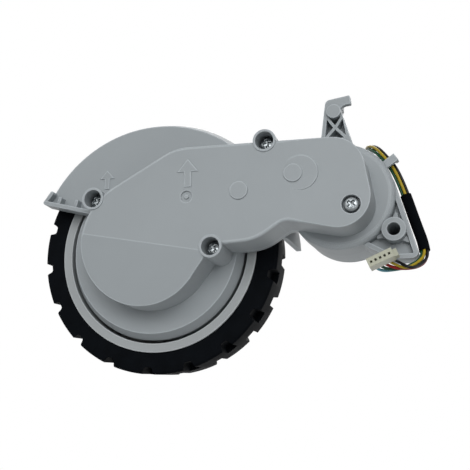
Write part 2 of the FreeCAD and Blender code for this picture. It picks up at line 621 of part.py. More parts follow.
def make_housing():
    body = new_body("gearbox_housing")
    turned(body, "drum", [
        (ZERO, S.drum_back, ZERO), (drum_tail, S.drum_back, ZERO), (drum_radius, S.drum_shoulder, ZERO),
        (drum_face, S.parting, ZERO), (ZERO, S.parting, ZERO)])
    wheel_end, arm = lobes(ZERO)
    pad(body, "wheel_end_floor", wheel_end, floor_back, S.parting)
    pad(body, "arm_floor", arm, floor_back, S.parting)
    wall = S.fender_wall
    sweep = S.fender_end - S.fender_start
    turned(body, "fender", [
        (drum_face - S.overlap, floor_back, ZERO), (fender_front - wall, floor_back, ZERO),
        (fender_flare - wall, S.fender_flare_at, ZERO), (fender_tail - wall, S.fender_back, ZERO),
        (fender_tail, S.fender_back, ZERO), (fender_flare, S.fender_flare_at, ZERO),
        (fender_front, S.parting, ZERO), (drum_face - S.overlap, S.parting, ZERO)],
        start=S.fender_start, sweep=sweep)
    pot_low = S.pot_back
    turned(body, "pot", [
        (ZERO, pot_low, ZERO), (pot_end, pot_low, ZERO), (S.pot_radius, S.tail_back, ZERO),
        (S.pot_radius - S.pot_round, S.parting - S.pot_round, S.pot_round), (ZERO, S.parting, ZERO)],
        centre=pot_centre)
    pad(body, "boss1", disc(screws[0], S.screw_boss), floor_back, S.parting)
    pad(body, "boss2", disc(screws[1], S.screw_boss), floor_back, S.parting)
    pad(body, "boss3", disc(screws[2], S.screw_boss), S.hook_screw_back, S.parting)

    # pivot tail
    tail = [pot_centre + (S.pot_radius - S.tail_inset,), (S.tail_heel_x, S.tail_corner_z, S.tail_corner),
            (S.tail_corner_x, S.tail_corner_z, S.tail_corner),
            (S.tail_shoulder_x, S.tail_shoulder_z, S.tail_corner)]
    pad(body, "tail", tail, S.tail_back, S.tail_front)
    inner = [(x, z, radius - S.tail_wall) for x, z, radius in tail]
    tail_face = S.tail_front - S.tail_depth
    pocket(body, "tail_inside", inner, tail_face, S.tail_front)
    pocket(body, "tail_underside", inner, S.tail_back, tail_face - S.tail_floor)
    pot_inside = S.pot_radius - S.pot_wall - S.overlap
    turned(body, "pot_again", [
        (pot_inside, S.tail_back, ZERO), (S.pot_radius, S.tail_back, ZERO),
        (S.pot_radius, S.tail_front, ZERO),
        (pot_inside, S.tail_front, ZERO)], centre=pot_centre)
    pad(body, "pivot_boss", disc(pivot, S.pivot_boss), S.pivot_back, S.pivot_front)
    gussets = (S.gusset1_angle, S.gusset2_angle, S.gusset3_angle, S.gusset4_angle)
    for number, angle in enumerate(gussets, start=1):
        tip = polar(pivot, S.gusset_reach, angle)
        pad(body, "gusset%d" % number, [pivot + (S.pivot_bore,), tip + (S.gusset_tip,)], S.tail_back,
            S.tail_front - S.gusset_drop)
    pocket(body, "pivot_bore", disc(pivot, S.pivot_bore), S.pivot_back + S.pivot_floor, S.pivot_front)

    # spring hook
    pad(body, "hook", [
        (S.hook_left, S.hook_base, ZERO), (S.hook_right, S.hook_base, ZERO),
        (S.hook_throat_x, S.hook_throat_z, -S.hook_throat), (S.hook_tip_x, S.hook_tip_z, S.hook_tip),
        (S.hook_crown_x, S.hook_crown_z, S.hook_crown),
        (S.hook_shoulder_x, S.hook_shoulder_z, S.hook_shoulder)],
        S.hook_back, S.hook_front)
    neck = S.hook_throat_x - S.hook_throat + S.beak_neck
    pocket(body, "beak_relief", box_corners(neck, S.hook_throat_z, S.hook_tip_x + S.overlap,
                                            S.hook_crown_z + S.overlap), S.hook_back, S.beak_back)
    make_hook_window(body)
    pad(body, "hook_disc", disc((S.hook_disc_x, S.hook_disc_z), S.hook_disc), S.hook_front - S.hook_disc_root,
        S.hook_front + S.hook_disc_height)

    # shelf and its ribs
    tip = (S.shelf_tip_x, S.shelf_tip_z)
    slope = S.shelf_slope
    shelf = [polar(tip, ZERO, slope) + (S.shelf_thick / 2,),
             polar(tip, S.shelf_length, slope) + (S.shelf_thick / 2,)]
    pad(body, "shelf", shelf, floor_back, S.shelf_front)
    ear, top = (S.shelf_ear_x, S.shelf_ear_z), (S.shelf_top_x, S.shelf_top_z)
    pad(body, "shelf_plate", [ear + (S.shelf_thick / 2,), tip + (S.shelf_thick / 2,),
                              (S.shelf_root_x, S.shelf_root_z, S.shelf_thick / 2),
                              top + (S.shelf_thick / 2,)],
        floor_back, S.parting)
    pad(body, "shelf_wall", [ear + (S.shelf_rib / 2,), top + (S.shelf_rib / 2,)], floor_back,
        S.shelf_front - S.shelf_rib_drop)
    for number, place, height in ((1, S.shelf_rib1, S.shelf_rib1_height),
                                  (2, S.shelf_rib2, S.shelf_rib2_height)):
        root = polar(tip, place, slope)
        pad(body, "shelf_rib%d" % number, bar(root, slope + 90, ZERO, height, S.shelf_rib), floor_back,
            S.shelf_front - S.shelf_rib_drop)

    # ears for the cap's screws
    for number, angle in ((1, S.ear1_angle), (2, S.ear2_angle)):
        pad(body, "ear%d" % number, ear_corners(angle), S.pot_back, S.pot_back + S.ear_depth)

    # finger that keeps the wires against the pot
    pad(body, "finger", bar(pot_centre, S.finger_angle, S.pot_radius - S.overlap, finger_reach,
                            S.finger_width), S.finger_front - S.finger_thick, S.finger_front)
    pad(body, "finger_lip", bar(pot_centre, S.finger_angle, finger_reach - S.finger_lip, finger_reach,
                                S.finger_width), S.finger_front - S.finger_drop, S.finger_front)

    # hollows
    pocket(body, "motor_bay", disc(pot_centre, S.pot_radius - S.pot_wall), S.pot_back, floor_back)
    turned(body, "drum_groove", [
        (groove_outer - S.groove_width, S.drum_back, ZERO), (groove_outer, S.drum_back, ZERO),
        (groove_outer, floor_back, ZERO), (groove_outer - S.groove_width, floor_back, ZERO)], cut=True)
    for number in (0, 1):
        pad(body, "post%d" % (number + 1), disc(screws[number], S.post_radius), S.post_back, S.parting)
    lobe = S.output_module * S.third_pinion_teeth / 2 + S.well_gap + S.output_module
    pad(body, "third_post", disc(third_axis, lobe + S.drum_wall), S.drum_back, S.parting)
    well = S.output_module * S.output_teeth / 2 + S.well_gap + S.output_module
    pocket(body, "output_well", disc(CENTRE, well), S.drum_back + S.drum_wall, S.parting)
    pocket(body, "third_well", disc(third_axis, lobe), S.drum_back + S.drum_wall, S.parting)
    pad(body, "bush_boss", disc(CENTRE, S.bush_boss), S.bush_boss_back, S.drum_back + S.drum_wall)
    pocket(body, "bush_bore", disc(CENTRE, S.bush_radius), S.bush_boss_back, S.drum_back + S.drum_wall)
    pad(body, "pillar4", disc(screws[3], S.pillar_radius), S.parting,
        S.cover_top - S.screw4_sink - S.screw_head_height - S.cover_roof)
    for number, sink in enumerate(sinks):
        seat = S.cover_top - sink - S.screw_head_height
        low = seat - S.screw_length
        top = (S.parting if number < 3 else seat - S.cover_roof)
        pocket(body, "thread%d" % (number + 1), disc(screws[number], S.screw_shank), low, top)
    pocket(body, "third_pin_seat", disc(third_axis, S.pin_radius), S.drum_back + S.third_pin_floor,
           S.drum_back + S.drum_wall)
    for name, axis in (("second", second_axis), ("first", first_axis)):
        pocket(body, name + "_pin_seat", disc(axis, S.pin_radius), floor_back + S.pin_floor, S.parting)
    pocket(body, "motor_boss_hole", disc(motor_axis, S.can_boss), floor_back, S.parting)
    for number, spot in enumerate(motor_screw_spots(), start=1):
        pocket(body, "motor_hole%d" % number, disc(spot, S.motor_screw_radius), floor_back, S.parting)
    for number, spot in enumerate(ear_spots(), start=1):
        pocket(body, "ear_thread%d" % number, disc(spot, S.ear_screw), S.pot_back,
               S.pot_back - S.cap_flange + S.ear_screw_length)


def make_hook_window(body):
    """Four pockets round a cross of ribs in the hook's post."""
    low, high = S.window_low, S.window_high
    left_low, right_low = S.window_left, S.window_right
    left_high, right_high = S.window_top_left, S.window_top_right
    middle_x = (left_low + right_low + left_high + right_high) / 4
    middle_z = (low + high) / 2
    half = S.window_rib / math.sqrt(2)
    floor = S.hook_front - S.window_depth
    corners = {"low": ((left_low + half, low), (right_low - half, low), (middle_x, middle_z - half)),
               "right": ((right_low, low + half), (right_high, high - half), (middle_x + half, middle_z)),
               "high": ((right_high - half, high), (left_high + half, high), (middle_x, middle_z + half)),
               "left": ((left_high, high - half), (left_low, low + half), (middle_x - half, middle_z))}
    for side, points in corners.items():
        pocket(body, "window_" + side, [(x, z, ZERO) for x, z in points], floor, S.hook_front)


def make_screws():
    bodies = []
    for number, (spot, sink) in enumerate(zip(screws, sinks), start=1):
        seat = S.cover_top - sink - S.screw_head_height
        body = new_body("cover_screw%d" % number)
        turned(body, "head_and_shank", [
            (ZERO, seat - S.screw_length, ZERO), (S.screw_shank, seat - S.screw_length, ZERO),
            (S.screw_shank, seat, ZERO), (S.screw_head, seat, ZERO),
            (S.screw_head, seat + S.screw_head_height, ZERO), (ZERO, seat + S.screw_head_height, ZERO)],
            centre=spot)
        bodies.append(body)
    group("cover_screws", bodies)


def motor_screw_spots():
    return [polar(motor_axis, S.motor_screw_reach, S.motor_screw_angle + turn) for turn in (0, 180)]


def ear_spots():
    return [polar(pot_centre, ear_reach, angle) for angle in (S.ear1_angle, S.ear2_angle)]


def ear_corners(angle):
    return [polar(pot_centre, ear_reach, angle) + (S.ear_radius,),
            polar(pot_centre, S.pot_radius - S.ear_root, angle) + (S.ear_radius,)]


def make_motor():
    can_back = floor_back - S.can_length
    can = new_body("motor_can")
    turned(can, "case", [
        (S.motor_shaft + S.running_gap, can_back, ZERO), (can_radius, can_back, ZERO),
        (can_radius - S.can_round, floor_back - S.can_round, S.can_round),
        (S.can_boss, floor_back, ZERO), (S.can_boss, floor_back + S.can_boss_height, ZERO),
        (S.motor_shaft + S.running_gap, floor_back + S.can_boss_height, ZERO)], centre=motor_axis)
    for number, spot in enumerate(motor_screw_spots(), start=1):
        pocket(can, "thread%d" % number, disc(spot, S.motor_screw_radius), floor_back - S.motor_screw_depth,
               floor_back)
    cap = new_body("motor_end_cap")
    cap_back = can_back - S.end_cap_thick
    cap_radius = can_radius - S.end_cap_inset
    turned(cap, "plate", [
        (S.motor_shaft + S.running_gap, cap_back - S.end_cap_boss_height, ZERO),
        (S.end_cap_boss, cap_back - S.end_cap_boss_height, ZERO), (S.end_cap_boss, cap_back, ZERO),
        (cap_radius, cap_back, ZERO), (cap_radius, can_back, ZERO),
        (S.motor_shaft + S.running_gap, can_back, ZERO)], centre=motor_axis)
    shaft = new_body("motor_shaft")
    pad(shaft, "rod", disc(motor_axis, S.motor_shaft), S.motor_shaft_back, S.motor_shaft_top)
    magnet = new_body("encoder_magnet")
    magnet_back = S.motor_shaft_back
    pad(magnet, "disc", disc(motor_axis, S.magnet_radius), magnet_back, magnet_back + S.magnet_thick)
    pocket(magnet, "bore", disc(motor_axis, S.motor_shaft), magnet_back, magnet_back + S.magnet_thick)
    board = new_body("encoder_board")
    board_back = S.board_front - S.board_thick
    pad(board, "plate", disc(pot_centre, cap_dome - S.board_inset), board_back, S.board_front)
    chips = []
    for number, angle in enumerate((S.grommet_angle - 90, S.grommet_angle + 180), start=1):
        chip = new_body("hall_sensor%d" % number)
        spot = polar(motor_axis, S.chip_reach, angle)
        half = S.chip_width / 2
        pad(chip, "case", box_corners(spot[0] - half, spot[1] - half, spot[0] + half, spot[1] + half),
            S.board_front, S.board_front + S.chip_height)
        chips.append(chip)
    group("hall_sensors", chips)
    bodies = []
    low = floor_back - S.motor_screw_depth
    for number, spot in enumerate(motor_screw_spots(), start=1):
        body = new_body("motor_screw%d" % number)
        turned(body, "head_and_shank", [
            (ZERO, low, ZERO), (S.motor_screw_radius, low, ZERO),
            (S.motor_screw_radius, S.parting, ZERO), (S.motor_screw_head, S.parting, ZERO),
            (S.motor_screw_head, S.parting + S.motor_screw_head_height, ZERO),
            (ZERO, S.parting + S.motor_screw_head_height, ZERO)], centre=spot)
        bodies.append(body)
    group("motor_screws", bodies)


def make_motor_cover():
    body = new_body("motor_cover")
    flange_back = S.pot_back - S.cap_flange
    turned(body, "dome", [
        (ZERO, S.cap_back, ZERO), (cap_dome - S.cap_round, S.cap_back + S.cap_round, S.cap_round),
        (cap_dome, flange_back, ZERO), (pot_end, flange_back, ZERO), (pot_end, S.pot_back, ZERO),
        (ZERO, S.pot_back, ZERO)], centre=pot_centre)
    for number, spot in enumerate(ear_spots(), start=1):
        angle = (S.ear1_angle, S.ear2_angle)[number - 1]
        pad(body, "ear%d" % number, ear_corners(angle), flange_back, S.pot_back)
        pocket(body, "ear_hole%d" % number, disc(spot, S.ear_screw + S.ear_clear), flange_back, S.pot_back)
    turned(body, "inside", [
        (ZERO, S.cap_back + S.cap_wall, ZERO),
        (cap_dome - S.cap_wall, S.cap_back + S.cap_wall, ZERO), (cap_dome - S.cap_wall, S.pot_back, ZERO),
        (ZERO, S.pot_back, ZERO)], centre=pot_centre, cut=True)
    hole = body.newObject("PartDesign::SubtractiveCylinder", "wire_hole")
    radial_hole(body, hole, S.grommet_radius, cap_dome - S.cap_wall - S.overlap, cap_dome + S.overlap)
    bodies = []
    for number, spot in enumerate(ear_spots(), start=1):
        screw = new_body("cap_screw%d" % number)
        turned(screw, "head_and_shank", [
            (ZERO, flange_back - S.ear_screw_head_height, ZERO),
            (S.ear_screw_head, flange_back - S.ear_screw_head_height, ZERO),
            (S.ear_screw_head, flange_back, ZERO),
            (S.ear_screw, flange_back, ZERO), (S.ear_screw, flange_back + S.ear_screw_length, ZERO),
            (ZERO, flange_back + S.ear_screw_length, ZERO)], centre=spot)
        bodies.append(screw)
    group("motor_cover_screws", bodies)


def radial_hole(body, feature, radius, near, far):
    """Cylinder that points away from the pot's axis at the wires' exit."""
    feature.AttachmentSupport = [(origin_feature(body, "XY_Plane"), "")]
    feature.MapMode = "FlatFace"
    feature.setExpression("Radius", radius.text)
    feature.setExpression("Height", (far - near).text)
    start = polar(pot_centre, near, S.grommet_angle)
    turn = Rotation(Vector(0, 0, 1), S.grommet_angle.value) * Rotation(Vector(0, 1, 0), 90)
    feature.AttachmentOffset = Placement(Vector(start[0].value, start[1].value, S.grommet_height.value), turn)
    body.Tip = feature


def make_grommet():
    body = new_body("wire_grommet")
    neck = body.newObject("PartDesign::AdditiveCylinder", "neck")
    radial_hole(body, neck, S.grommet_radius, cap_dome - S.cap_wall + S.grommet_set, cap_dome + S.grommet_lip)


# Wires, given by the bundle's own route and each wire's place in it

# Points of the route as (x, z, height), after the two that leave the grommet
BUNDLE_ROUTE = [(58.6, 28.8, -15.4), (59.9, 28.6, -10.0), (62.3, 26.6, -5.6), (64.75, 23.25, -3.4),
                (67.4, 19.4, -2.6), (69.35, 14.4, -2.4), (70.85, 9.5, -2.4), (72.4, 4.1, -2.4),
                (74.15, -1.5, -2.5), (74.8, -5.7, -1.6), (72.8, -8.2, 0.2)]
SLEEVE_ARCS = (8, 10)
# Each wire's name, its place in the plug's row from the right, and its place round the bundle
WIRES = [("wire_black", 2, 4), ("wire_red", 0, 0), ("wire_yellow", 1, 3),
         ("wire_green", -1, 2), ("wire_blue", -2, 1)]


def bundle_route():
    """Middle line of the wires, from the grommet's face to the turn under the tail."""
    points = []
    for reach in (cap_dome + S.grommet_lip, cap_dome + S.grommet_lip + S.wire_lead):
        x, z = polar(pot_centre, reach, S.grommet_angle)
        points.append(Vector(x.value, z.value, S.grommet_height.value))
    return points + [Vector(*point) for point in BUNDLE_ROUTE]


def beside(route, slot):
    """The bundle's route moved to one of the five places round its middle, run by parallel run."""
    angle = math.radians(S.bundle_roll.value + 72 * slot)
    heading = (route[1] - route[0]).normalize()
    side = heading.cross(Vector(0, 0, 1)).normalize()
    rise = side.cross(heading)
    offset = (side * math.cos(angle) + rise * math.sin(angle)) * S.bundle_radius.value
    points = [route[0] + offset]
    for here, after in zip(route[1:-1], route[2:]):
        before = heading
        heading = (after - here).normalize()
        middle = (before + heading).normalize()
        offset = offset - before * (offset.dot(middle) / before.dot(middle))
        points.append(here + offset)
        offset = offset - heading * offset.dot(heading)
    points.append(route[-1] + offset)
    return points


def plug_spot(along, across, height):
    """Point of the plug, measured along and across its row of wires."""
    place = polar(polar((S.plug_x, S.plug_z), along, S.plug_angle), across, S.plug_angle + 90)
    return place + (height,)


def wire_route(place, slot):
    plug_back = S.plug_front - S.plug_depth
    points = beside(bundle_route(), slot)
    x, z, height = (size.value for size in plug_spot(place * S.plug_pitch, ZERO, plug_back))
    points.append(Vector(x + S.fan1_x.value, S.fan1_z.value + S.fan1_z_step.value * place,
                         S.fan1_height.value + S.fan1_step.value * place))
    points.append(Vector(x + S.fan2_x.value, z + S.fan2_z.value + S.fan2_z_step.value * place,
                         height - S.fan2_drop.value + S.fan2_step.value * place))
    points.append(Vector(x, z, height - S.plug_lead.value))
    points.append(Vector(x, z, height))
    return points


def rounded_path(points):
    """Straight runs joined by tangent arcs, each as large as its shorter run allows."""
    edges = []
    radii = []
    start = points[0]
    for before, here, after in zip(points, points[1:], points[2:]):
        into, out = here - before, after - here
        half = into.getAngle(out) / 2
        reach = 0.45 * min(into.Length, out.Length)
        radius = reach / math.tan(half)
        into.normalize()
        out.normalize()
        first, last = here - into * reach, here + out * reach
        middle = here + (out - into).normalize() * (radius / math.cos(half) - radius)
        edges.append(Part.LineSegment(start, first).toShape())
        edges.append(Part.Arc(first, middle, last).toShape())
        radii.append(round(radius, 1))
        start = last
    edges.append(Part.LineSegment(start, points[-1]).toShape())
    return edges, radii


def tube(edges, radius):
    path = Part.Wire(edges)
    first = edges[0]
    heading = first.tangentAt(first.FirstParameter)
    ring = Part.Wire(Part.makeCircle(radius, first.Vertexes[0].Point, heading))
    solid = path.makePipeShell([ring], True, False)
    expected = math.pi * radius * radius * path.Length
    if abs(solid.Volume - expected) > 0.02 * expected:
        raise RuntimeError("a tube has volume %.2f where %.2f is right" % (solid.Volume, expected))
    return solid


def make_wires():
    for label, place, slot in WIRES:
        edges, radii = rounded_path(wire_route(place, slot))
        node_feature(label, in_world(tube(edges, S.wire_radius.value)))
        print(label, "length", round(Part.Wire(edges).Length, 1), "radii", radii)
    edges, radii = rounded_path(bundle_route())
    stretch = edges[2 * SLEEVE_ARCS[0] - 1:2 * SLEEVE_ARCS[1] + 1]
    sleeve = tube(stretch, S.sleeve_outer.value).cut(tube(stretch, S.sleeve_inner.value))
    node_feature("harness_sleeve", in_world(sleeve))


def make_plug():
    body = new_body("connector_housing")
    back = S.plug_front - S.plug_depth
    half_width, half_height = S.plug_width / 2, S.plug_height / 2
    sides = [(-half_width, -half_height), (half_width, -half_height), (half_width, half_height),
             (-half_width, half_height)]
    pad(body, "block", [plug_spot(along, across, ZERO)[:2] + (ZERO,) for along, across in sides], back,
        S.plug_front)
    for place in range(-2, 3):
        pocket(body, "slot%d" % (place + 3), square_at(place, S.plug_hole), back, S.plug_front)
    low, high = -S.plug_ear_height / 2, S.plug_ear_height / 2
    near, far = half_width - S.plug_hole / 2, half_width + S.plug_ear
    sides = [(near, low), (far, low), (far, high), (near, high)]
    pad(body, "ear", [plug_spot(along, across, ZERO)[:2] + (ZERO,) for along, across in sides], back,
        back + S.plug_ear_depth)
    pins = []
    for place in range(-2, 3):
        pin = new_body("terminal%d" % (place + 3))
        pad(pin, "crimp", square_at(place, S.plug_hole), back, back + S.pin_length)
        pins.append(pin)
    group("connector_terminals", pins)


def square_at(place, width):
    half = width / 2
    middle = place * S.plug_pitch
    return [plug_spot(middle + along * half, across * half, ZERO)[:2] + (ZERO,)
            for along, across in ((-1, -1), (1, -1), (1, 1), (-1, 1))]


make_tyre()
make_rim()
make_shaft_parts()
make_gears()
make_pins()
make_cover()
make_housing()
make_screws()
make_motor()
make_motor_cover()
make_grommet()
make_wires()
make_plug()

doc.recompute()
failed = [item.Name for item in doc.Objects if "Invalid" in item.State or "Error" in item.State]
if failed:
    raise RuntimeError("these objects failed: " + ", ".join(failed))
os.makedirs("parts", exist_ok=True)
for label, item in nodes.items():
    if item.Shape.isNull() or not item.Shape.isValid():
        raise RuntimeError(label + " has no valid shape")
    item.Shape.exportStep("parts/%s.step" % label)
    print(label, len(item.Shape.Solids), round(item.Shape.Volume, 2), round(item.Shape.BoundBox.ZMin, 2))
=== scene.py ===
import math

import bmesh
import bpy
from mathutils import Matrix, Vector
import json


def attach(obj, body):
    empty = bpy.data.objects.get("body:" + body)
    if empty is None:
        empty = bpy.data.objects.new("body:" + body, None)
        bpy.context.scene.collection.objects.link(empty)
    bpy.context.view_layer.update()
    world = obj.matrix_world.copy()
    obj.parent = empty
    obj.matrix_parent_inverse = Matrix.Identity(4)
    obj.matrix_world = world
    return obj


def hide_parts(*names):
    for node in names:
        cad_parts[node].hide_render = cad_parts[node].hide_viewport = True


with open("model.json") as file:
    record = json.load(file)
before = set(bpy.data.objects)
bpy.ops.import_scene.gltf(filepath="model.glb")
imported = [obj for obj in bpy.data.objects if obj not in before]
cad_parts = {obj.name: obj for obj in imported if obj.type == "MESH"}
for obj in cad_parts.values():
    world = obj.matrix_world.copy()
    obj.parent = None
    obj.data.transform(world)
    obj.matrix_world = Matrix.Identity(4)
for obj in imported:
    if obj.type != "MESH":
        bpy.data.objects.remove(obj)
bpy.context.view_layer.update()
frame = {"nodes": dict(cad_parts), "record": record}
nodes = frame["nodes"]
print("frame loaded")


def addObject(name, data):
    obj = bpy.data.objects.new(name, data)
    bpy.context.scene.collection.objects.link(obj)
    return obj


# Turns a camera or a lamp so that it looks along a direction
def aimAlong(obj, direction):
    obj.rotation_mode = "QUATERNION"
    obj.rotation_quaternion = direction.to_track_quat("-Z", "Y")


# Camera at the photograph's angle, a little below the axle
cameraView = {
    "place": (0.091, -0.249, -0.0598),
    "azimuth": 15.32,
    "climb": 13.7,
    "sensor": 36,
    "focalPixels": 950,  # focal length and frame in pixels of the photograph
    "framePixels": 470,
    "near": 0.005,
    "far": 20,
}


def makeCamera(look):
    turn, climb = math.radians(look["azimuth"]), math.radians(look["climb"])
    level = math.cos(climb)
    data = bpy.data.cameras.new("view")
    data.sensor_width = look["sensor"]
    data.lens = look["sensor"] * look["focalPixels"] / look["framePixels"]
    data.clip_start = look["near"]
    data.clip_end = look["far"]
    camera = addObject("view", data)
    camera.location = look["place"]
    aimAlong(camera, Vector((-math.sin(turn) * level, math.cos(turn) * level, math.sin(climb))))
    bpy.context.scene.camera = camera


makeCamera(cameraView)
print("camera placed")

# Wires, on the same route as the solids: a middle line, and each wire's place round it
harness = {
    "exit": (0.0529, 0.0206, 0.0116),
    "exitAngle": 74,
    "exitReach": (0.0136, 0.0168),
    "route": [
        (0.05860, 0.0154, 0.02880), (0.05990, 0.0100, 0.02860), (0.06230, 0.0056, 0.02660),
        (0.06475, 0.0034, 0.02325), (0.06740, 0.0026, 0.01940), (0.06935, 0.0024, 0.01440),
        (0.07085, 0.0024, 0.00950), (0.07240, 0.0024, 0.00410), (0.07415, 0.0025, -0.00150),
        (0.07480, 0.0016, -0.00570), (0.07280, -0.0002, -0.00820),
    ],
    "radius": 0.0008,  # from the middle line to each wire's middle
    "roll": -10.4,
    "slotTurn": 72,
    "wireRadius": 0.0004,
    "plug": (0.06415, -0.0062, -0.0080),
    "plugAngle": 22.5,
    "pitch": 0.00125,
    "fanLow": {"x": 0.00469, "y": -0.00226, "yStep": -0.00125, "z": -0.00958, "zStep": -0.0002},
    "fanHigh": {"x": 0.0015, "y": 0.00399, "yStep": -0.00051, "z": -0.00062, "zStep": -0.00001},
    "lead": 0.0015,
    "curveSteps": 10,
    "roundSteps": 4,
    "wires": {  # place in the plug's row, and slot round the middle line
        "wire_black": (2, 4), "wire_red": (0, 0), "wire_yellow": (1, 3), "wire_green": (-1, 2),
        "wire_blue": (-2, 1),
    },
    "lengths": {
        "wire_black": 0.0722, "wire_red": 0.0705, "wire_yellow": 0.0708, "wire_green": 0.0692,
        "wire_blue": 0.0700,
    },
}
towardsFront = Vector((0, -1, 0))


def bundleRoute(look):
    angle = math.radians(look["exitAngle"])
    out = Vector((math.cos(angle), 0, math.sin(angle)))
    start = Vector(look["exit"])
    leaving = [start + out * reach for reach in look["exitReach"]]
    return leaving + [Vector(point) for point in look["route"]]


# A line at one distance from the route, carried round its corners without a twist
def besideRoute(route, angle, radius):
    heading = (route[1] - route[0]).normalized()
    side = heading.cross(towardsFront).normalized()
    rise = side.cross(heading)
    offset = (side * math.cos(angle) + rise * math.sin(angle)) * radius
    points = [route[0] + offset]
    for here, after in zip(route[1:-1], route[2:]):
        before = heading
        heading = (after - here).normalized()
        middle = (before + heading).normalized()
        offset = offset - before * (offset.dot(middle) / before.dot(middle))
        points.append(here + offset)
        offset = offset - heading * offset.dot(heading)
    points.append(route[-1] + offset)
    return points


# One wire's points: beside the route, then out to its own hole in the plug
def wirePoints(look, place, slot):
    turn = math.radians(look["roll"] + look["slotTurn"] * slot)
    points = besideRoute(bundleRoute(look), turn, look["radius"])
    row = math.radians(look["plugAngle"])
    end = Vector(look["plug"]) + Vector((math.cos(row), 0, math.sin(row))) * (look["pitch"] * place)
    low, high = look["fanLow"], look["fanHigh"]
    points.append(Vector((end.x + low["x"], low["y"] + low["yStep"] * place,
                          low["z"] + low["zStep"] * place)))
    points.append(end + Vector((high["x"], high["y"] + high["yStep"] * place,
                                high["z"] + high["zStep"] * place)))
    points.append(end + Vector((0, look["lead"], 0)))
    points.append(end)
    return points


# The points carry the radius and the bevel is 1 deep, so that the curve's own box is true
def routeCurve(name, points, look):
    curve = bpy.data.curves.new(name, "CURVE")
    curve.dimensions = "3D"
    curve.resolution_u = look["curveSteps"]
    spline = curve.splines.new("NURBS")
    spline.points.add(len(points) - 1)
    for control, point in zip(spline.points, points):
        control.co = (*point, 1)
        control.radius = look["wireRadius"]
    spline.order_u = 3
    spline.use_endpoint_u = True
    curve.bevel_depth = 1.0
    curve.bevel_resolution = look["roundSteps"]
    curve.use_fill_caps = True
    return addObject(name, curve)


def wireSlot(wireName):
    return wireName.replace("wire_", "") + "_wire"


wireObjects = {}
for wireName, (plugPlace, slotPlace) in harness["wires"].items():
    points = wirePoints(harness, plugPlace, slotPlace)
    wire = routeCurve(wireName.replace("wire_", "lead_"), points, harness)
    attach(wire, "housing")
    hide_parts(wireName)
    wireObjects[wireName] = wire
print("wires made")

# Materials. A look takes from the plain one what it doesn't name itself
plainLook = {
    "metallic": 0.0, "coat": 0.0, "specular": 0.5,
    "mottle": 0.06, "mottleSize": 0.02, "mottleDetail": 4.0, "mottleRange": (0.3, 0.7),
    "spread": 0.05, "patchSize": 0.006, "patchDetail": 3.0,
    "grain": 0.15, "grainSize": 0.0003, "grainDetail": 2.0, "grainDepth": 0.00003,
    "edge": 0, "edgeSamples": 4, "weave": 0, "edgeHighlight": 0,
}
# Painted edge highlight: colour made paler along convex edges and creases, in place of the light their
# rounding catches
paintedEdgeHighlight = {
    "samples": 6,
    "turned": (0.9998, 0.9985),  # cosine of the normal's turn, where the painted highlight starts and where it is full
    "open": (0.75, 0.95),  # how open the place must be, likewise
    "openReach": 3,
    "paler": 1.7,
}
crossWeave = {"tilt": 40, "waveSize": 0.314}  # length of the texture's wave at scale 1


def noiseOf(tree, place, size, detail):
    noise = tree.nodes.new("ShaderNodeTexNoise")
    noise.inputs["Scale"].default_value = 1 / size
    noise.inputs["Detail"].default_value = detail
    tree.links.new(place, noise.inputs["Vector"])
    return noise.outputs["Fac"]


def spanOf(tree, value, start, end, low=0.0, high=1.0):
    span = tree.nodes.new("ShaderNodeMapRange")
    span.inputs["From Min"].default_value = start
    span.inputs["From Max"].default_value = end
    span.inputs["To Min"].default_value = low
    span.inputs["To Max"].default_value = high
    tree.links.new(value, span.inputs["Value"])
    return span.outputs["Result"]


def bothOf(tree, operation, first, second):
    joined = tree.nodes.new("ShaderNodeMath")
    joined.operation = operation
    tree.links.new(first, joined.inputs[0])
    tree.links.new(second, joined.inputs[1])
    return joined.outputs["Value"]


def roundedNormal(tree, radius, samples):
    rounded = tree.nodes.new("ShaderNodeBevel")
    rounded.samples = samples
    rounded.inputs["Radius"].default_value = radius
    return rounded.outputs["Normal"]


# Painted highlight: paler colour along edges and creases, where the rounded normal turns from the face's
# own, not in inner corners. It stands in for the light that rounded edges catch.
def lightenEdges(tree, colour, look, highlightSettings):
    turned = tree.nodes.new("ShaderNodeVectorMath")
    turned.operation = "DOT_PRODUCT"
    tree.links.new(roundedNormal(tree, look["highlightReach"], highlightSettings["samples"]), turned.inputs[0])
    tree.links.new(tree.nodes.new("ShaderNodeNewGeometry").outputs["Normal"], turned.inputs[1])
    edge = spanOf(tree, turned.outputs["Value"], *highlightSettings["turned"], high=look["edgeHighlight"])
    around = tree.nodes.new("ShaderNodeAmbientOcclusion")
    around.samples = highlightSettings["samples"]
    around.inputs["Distance"].default_value = highlightSettings["openReach"] * look["highlightReach"]
    outside = spanOf(tree, around.outputs["AO"], *highlightSettings["open"])
    mix = tree.nodes.new("ShaderNodeMix")
    mix.data_type = "RGBA"
    mix.inputs["B"].default_value = (*[channel * highlightSettings["paler"] for channel in look["colour"]], 1)
    tree.links.new(bothOf(tree, "MULTIPLY", edge, outside), mix.inputs["Factor"])
    tree.links.new(colour, mix.inputs["A"])
    return mix.outputs["Result"]


def weaveHeight(tree, place, weave, pitch):
    waves = []
    for tilt in (weave["tilt"], -weave["tilt"]):
        turn = tree.nodes.new("ShaderNodeMapping")
        turn.inputs["Rotation"].default_value = (0, math.radians(tilt), 0)
        tree.links.new(place, turn.inputs["Vector"])
        wave = tree.nodes.new("ShaderNodeTexWave")
        wave.bands_direction = "Z"
        wave.inputs["Scale"].default_value = weave["waveSize"] / pitch
        tree.links.new(turn.outputs["Vector"], wave.inputs["Vector"])
        waves.append(wave.outputs["Fac"])
    return bothOf(tree, "MAXIMUM", *waves)


